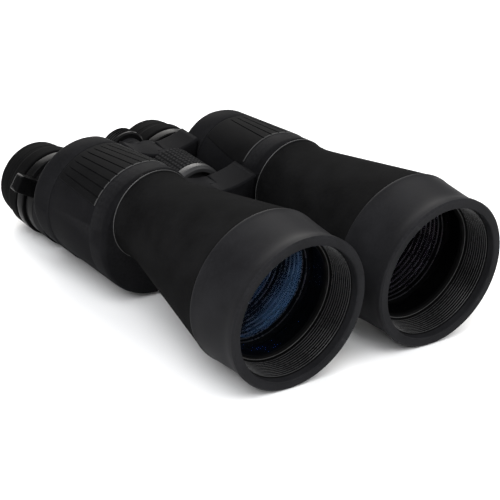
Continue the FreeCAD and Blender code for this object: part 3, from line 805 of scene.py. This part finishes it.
@dataclass
class PrismHousing:
    """Covers, shell and ribbed grip panel of one half."""

    side: Side
    housing_y: float = 19.5
    back_y: float = 71.5
    inner_x: float = 20.0
    outer_x: tuple[float, float] = (71.8, 72.0)
    top_z: tuple[float, float] = (32.2, 25.4)
    r_out: float = 29.0
    r_in: float = 21.5
    panel_y: tuple[float, float] = (20.0, 55.0)
    low_z: float = 14.0
    inner_low_z: tuple[float, float] = (17.0, 21.0)
    proud: float = 0.5
    grooves: int = 9
    groove_w: float = 0.85
    groove_depth: float = 0.47
    groove_end: float = 2.2
    groove_fade: float = 1.5
    first_groove: float = 0.07
    groove_spread: float = 0.62
    panel_w: float = 60.0
    corner_r: float = 4.5
    rim_w: float = 0.4
    least_rise: float = 0.02
    sunk: float = 0.3
    # width of the front strip that takes the painted highlight finish
    rubbed_w: float = 0.45

    def over_top(self, y: float, share: float, rise: float) -> Vector:
        """A point on the housing's top.

        Args:
            y: station along the housing.
            share: 0 at the panel's outboard edge, 1 at its edge by the hinge.
            rise: height above the housing's skin.

        Returns:
            The point in metres, on this side.
        """
        along = (y - self.housing_y) / (self.back_y - self.housing_y)
        x1 = self.outer_x[0] + along * (self.outer_x[1] - self.outer_x[0])
        z1 = self.top_z[0] + along * (self.top_z[1] - self.top_z[0])
        low_in = self.inner_low_z[0] + along * (self.inner_low_z[1] - self.inner_low_z[0])
        a0 = math.asin((self.low_z - (z1 - self.r_out)) / self.r_out)
        a1 = math.pi - math.asin((low_in - (z1 - self.r_in)) / self.r_in)
        flat = (x1 - self.r_out) - (self.inner_x + self.r_in)
        lengths = (self.r_out * (math.pi / 2 - a0), max(flat, 0.0), self.r_in * (a1 - math.pi / 2))
        run = share * sum(lengths)
        if run < lengths[0]:
            turn = a0 + run / self.r_out
            x = x1 - self.r_out + (self.r_out + rise) * math.cos(turn)
            z = z1 - self.r_out + (self.r_out + rise) * math.sin(turn)
        elif run < lengths[0] + lengths[1]:
            x, z = x1 - self.r_out - (run - lengths[0]), z1 + rise
        else:
            turn = math.pi / 2 + (run - lengths[0] - lengths[1]) / self.r_in
            x = self.inner_x + self.r_in + (self.r_in + rise) * math.cos(turn)
            z = z1 - self.r_in + (self.r_in + rise) * math.sin(turn)
        return Vector((x * self.side.value * MM, y * MM, z * MM))

    def panel(self) -> None:
        """Grip panel with fore-and-aft grooves, a rolled rim and a rounded inner front corner."""
        width = self.panel_w
        shares = {0.0, 0.004, 0.01, 0.02, 0.98, 0.99, 0.996, 1.0}
        centres = [self.first_groove + i * self.groove_spread / (self.grooves - 1)
                   for i in range(self.grooves)]
        for c in centres:
            shares.update(c + k * self.groove_w / width
                          for k in (-0.75, -0.5, -0.3, 0, 0.3, 0.5, 0.75))
        shares.update(i / 60 for i in range(61))
        across = sorted(shares)
        across = [s for i, s in enumerate(across) if i == 0 or s - across[i - 1] > 0.0008]
        length = self.panel_y[1] - self.panel_y[0]
        rows = sorted({0, 0.15, 0.4, 0.8, length - 0.8, length - 0.4, length - 0.15, length,
                       *(i * length / 34 for i in range(35))})
        bm = bmesh.new()
        top, under = [], []
        for share in across:
            corner, near_in, inset = self.corner_r, (1 - share) * width, 0.0
            if near_in < corner:
                inset = corner - math.sqrt(max(corner ** 2 - (corner - near_in) ** 2, 0))
            line_top, line_under = [], []
            for d in rows:
                y = self.panel_y[0] + inset + d * (length - inset) / length
                edge = min(d, length - d, share * width, (1 - share) * width)
                rim = min(edge / self.rim_w, 1.0)
                height = self.proud * math.sqrt(max(0.0, 1 - (1 - rim) ** 2))
                cut = max(1 - (abs(share - c) * width / (self.groove_w / 2)) ** 2
                          for c in centres)
                if cut > 0 and d < length - self.groove_end:
                    fade = min((length - self.groove_end - d) / self.groove_fade, 1.0)
                    height -= self.groove_depth * min(cut * 1.6, 1.0) * fade
                line_top.append(bm.verts.new(self.over_top(y, share, max(height, self.least_rise))))
                line_under.append(bm.verts.new(self.over_top(y, share, -self.sunk)))
            top.append(line_top)
            under.append(line_under)
        for lines in (top, under):
            for a, b in zip(lines, lines[1:]):
                for i in range(len(rows) - 1):
                    bm.faces.new((a[i], a[i + 1], b[i + 1], b[i]))
        for a, b in ((top[0], under[0]), (top[-1], under[-1])):
            for i in range(len(rows) - 1):
                bm.faces.new((a[i], a[i + 1], b[i + 1], b[i]))
        for i in (0, len(rows) - 1):
            for k in range(len(across) - 1):
                bm.faces.new((top[k][i], top[k + 1][i], under[k + 1][i], under[k][i]))
        tag = self.side.tag
        piece = from_bmesh(f"{tag}_ribbed_grip", bm, "grip_rubber", 50)
        # The faces along the panel's front edge take the lighter finish: a painted highlight on
        # that edge.
        piece.data.materials.append(PAINT.get("grip_edge"))
        for face in piece.data.polygons:
            if face.center.y < (self.panel_y[0] + self.rubbed_w) * MM:
                face.material_index = 1
        settle(piece, self.side.half, "grip_rubber", f"{tag}_grip_panel")

    def build(self) -> None:
        """Make the covers, the shell and the panel."""
        tag = self.side.tag
        for node, bevel in (("front_cover", 0.0), ("prism_housing", 0.35), ("rear_cover", 0.0)):
            piece = fair_copy(f"{tag}_{node}", f"{tag}_{node}_skin", "body_armour", bevel)
            settle(piece, self.side.half, "body_armour", f"{tag}_{node}")
        self.panel()


@dataclass
class FocusWheel:
    """Knurled focus wheel on the hinge."""

    knurl: NodeMill
    radius: float = 17.8
    ring_y: float = 33.5
    end_y: float = 54.0
    bore_r: float = 15.85
    knurl_depth: float = 0.6
    knurl_margin: float = 0.6
    pad: float = 1.95
    pad_height: float = 0.7
    rows: int = 9
    columns: int = 48

    def build(self) -> None:
        """Make the sleeve and its pads."""
        floor_r = self.radius - self.knurl_depth
        front, back = self.ring_y + 0.05, self.end_y - 0.1
        sleeve = lathe("wheel_grip_sleeve", 0, 0, soften([
            (self.bore_r, front), (floor_r, front, 0.2), (floor_r, back, 0.5),
            (self.bore_r, back)]), "grip_rubber")
        settle(sleeve, "focus_wheel", "grip_rubber", "focus_wheel_grip")
        pitch = (self.end_y - self.ring_y - self.knurl_margin) / self.rows
        pads = self.knurl.run("wheel_knurl_pads", "grip_rubber", 0, 0, crease_deg=20,
                              Rows=self.rows, Columns=self.columns, Radius=(floor_r - 0.1) * MM,
                              Start=(self.ring_y + 0.4 + pitch / 2) * MM, Pitch=pitch * MM,
                              Pad=self.pad * MM, Height=self.pad_height * MM)
        settle(pads, "focus_wheel", "grip_rubber")
        hub = fair_copy("focus_wheel_hub", "wheel_hub_turned", "wheel_satin", 0.3)
        settle(hub, "focus_wheel", "wheel_satin", "focus_wheel_hub")


@dataclass
class Eyepiece:
    """Eyecup and rings of one eyepiece."""

    side: Side
    axis_x: float = 36.6
    axis_z: float = -20.6
    cup_y: float = 105.2
    end_y: float = 124.5

    def cup(self) -> None:
        """Rubber eyecup with a base band, two fold creases and a rolled rim."""
        y, end = self.cup_y, self.end_y
        corners = [
            (18.6, y), (22.3, y, 0.4), (22.8, y + 0.5, 0.4), (22.8, y + 6.1, 0.4),
            (22.0, y + 7.0, 0.6), (21.7, y + 8.2, 0.5), (21.75, y + 9.6, 0.4),
            (21.35, y + 10.0, 0.3), (21.55, y + 10.5, 0.4), (21.2, y + 14.4, 0.5),
            (20.85, y + 14.8, 0.3), (20.95, y + 15.4, 0.5), (20.6, end - 1.4, 1.4),
            (19.6, end, 0.9), (18.4, end - 0.3, 0.8), (17.7, end - 1.6, 1.0),
            (17.4, end - 6.4, 2.0),
            (15.4, y + 8.2, 1.0), (15.4, y + 4.9), (18.6, y + 4.9)]
        tag = self.side.tag
        piece = lathe(f"{tag}_eyecup_rubber", self.axis_x * self.side.value, self.axis_z,
                      soften(corners), "eyecup_rubber", 128)
        settle(piece, self.side.ocular, "eyecup_rubber", f"{tag}_eyecup")

    def build(self) -> None:
        """Make the cup and fair copies of the rings and arm."""
        tag = self.side.tag
        self.cup()
        zoom_body = f"{tag}_zoom"
        dial_body = "diopter" if self.side is Side.RIGHT else self.side.eyepiece
        for node, body, slot, bevel in (
                (f"{tag}_zoom_ring", zoom_body, "gloss_black", 0.25),
                (f"{tag}_diopter_ring", dial_body, "gloss_black", 0.25),
                (f"{tag}_bridge_arm", self.side.eyepiece, "body_armour", 0.0)):
            settle(fair_copy(node, f"{node}_piece", slot, bevel), body, slot, node)
        if self.side is Side.RIGHT:
            lever = fair_copy("zoom_lever", "zoom_thumb_lever", "gloss_black", 0.35)
            settle(lever, zoom_body, "gloss_black", "zoom_lever")


def dress_frame() -> None:
    """Give every CAD node that still shows, or lies inside, its own node finish."""
    slots = {part["node"]: part["material_slot"] for part in frame["record"]["subparts"]}
    for node, piece in frame["nodes"].items():
        piece.data.materials.clear()
        piece.data.materials.append(PAINT.get(slots[node]))
    LOG.info("dressed %d CAD nodes", len(frame["nodes"]))


# ---------------------------------------------------------------------------- studio
@dataclass
class Studio:
    """Pale floor, soft lights and the camera."""

    azimuth: float = -41.237
    elevation: float = 26.339
    roll: float = 6.815
    target: tuple[float, float, float] = (-24.5, -46.0, 10.2)
    distance: float = 944.15
    lens: float = 142.18
    front_foot: tuple[float, float] = (-106.0, -28.75)
    rear_foot: tuple[float, float] = (98.0, -43.65)
    floor_reach: float = 7000.0
    world: float = 0.55

    def camera(self) -> None:
        """Aim the camera along the view's azimuth and elevation, with its roll."""
        a, e, r = (math.radians(v) for v in (self.azimuth, self.elevation, self.roll))
        back = Vector((math.sin(a) * math.cos(e), -math.cos(a) * math.cos(e), math.sin(e)))
        right = Vector((math.cos(a), math.sin(a), 0))
        up = back.cross(right)
        turned = right * math.cos(r) + up * math.sin(r)
        raised = up * math.cos(r) - right * math.sin(r)
        data = bpy.data.cameras.new("studio_camera")
        data.sensor_width, data.lens = 36.0, self.lens
        data.clip_start, data.clip_end = 0.05, 50
        camera = bpy.data.objects.new("studio_camera", data)
        bpy.context.scene.collection.objects.link(camera)
        matrix = Matrix((turned, raised, back)).transposed().to_4x4()
        matrix.translation = (Vector(self.target) + back * self.distance) * MM
        camera.matrix_world = matrix
        bpy.context.scene.camera = camera

    def floor(self) -> None:
        """Large pale sheet under the bells and the eyepiece rings."""
        (y0, z0), (y1, z1) = self.front_foot, self.rear_foot
        slope = (z1 - z0) / (y1 - y0)
        bm = bmesh.new()
        reach = self.floor_reach
        corners = [bm.verts.new((x * MM, y * MM, (z0 + slope * (y - y0)) * MM))
                   for x, y in ((-reach, -reach), (reach, -reach), (reach, reach), (-reach, reach))]
        bm.faces.new(corners)
        mesh = bpy.data.meshes.new("studio_floor")
        bm.to_mesh(mesh)
        bm.free()
        material = bpy.data.materials.new("floor_pale_paper")
        material.use_nodes = True
        board = Board(material.node_tree)
        where = board.add("ShaderNodeTexCoord").outputs["Object"]
        tone = board.blend(board.noise(where, 60.0), (0.93, 0.93, 0.93), (0.96, 0.96, 0.96))
        shader = board.add("ShaderNodeBsdfPrincipled", {"Base Color": tone, "Roughness": 0.9,
                                                        "Specular IOR Level": 0.0})
        board.add("ShaderNodeOutputMaterial", {0: shader.outputs[0]})
        mesh.materials.append(material)
        sheet = bpy.data.objects.new("studio_floor", mesh)
        bpy.context.scene.collection.objects.link(sheet)

    def softbox(self, name: str, where: tuple[float, float, float], size: float, power: float,
                tone: Colour = (1, 1, 1)) -> None:
        """Add a square soft light that faces the middle of the object.

        Args:
            name: the light's name.
            where: its place, in metres.
            size: length of its sides, in metres.
            power: its power, in watts.
            tone: its colour.
        """
        data = bpy.data.lights.new(name, "AREA")
        data.shape, data.size, data.energy, data.color = "SQUARE", size, power, tone
        lamp = bpy.data.objects.new(name, data)
        lamp.location = where
        lamp.rotation_mode = "QUATERNION"
        lamp.rotation_quaternion = (Vector(where) - Vector((0, -0.01, 0))).to_track_quat("Z", "Y")
        bpy.context.scene.collection.objects.link(lamp)

    def build(self) -> None:
        """Make the whole studio."""
        scene = bpy.context.scene
        scene.view_settings.view_transform = "Standard"
        world = bpy.data.worlds.new("studio_air")
        scene.world = world
        world.use_nodes = True
        world.node_tree.nodes["Background"].inputs[0].default_value = (1, 1, 1, 1)
        world.node_tree.nodes["Background"].inputs[1].default_value = self.world
        self.floor()
        self.softbox("key_softbox", (-1.1, -0.5, 1.7), size=1.8, power=46, tone=(0.97, 0.98, 1.0))
        self.softbox("fill_softbox", (1.3, -1.3, 1.3), size=1.8, power=26)
        self.softbox("rear_softbox", (0.7, 1.8, 1.1), size=1.6, power=46, tone=(1.0, 0.98, 0.95))
        self.camera()


def main() -> None:
    """Build every sub-assembly and the studio."""
    logging.basicConfig(level=logging.INFO, format="%(name)s %(message)s")
    dress_frame()
    rings = ring_mill()
    for side in Side:
        ObjectiveEnd(side, rings).build()
        PrismHousing(side).build()
        Eyepiece(side).build()
    FocusWheel(knurl_mill()).build()
    Studio().build()


if __name__ == "__main__":
    main()
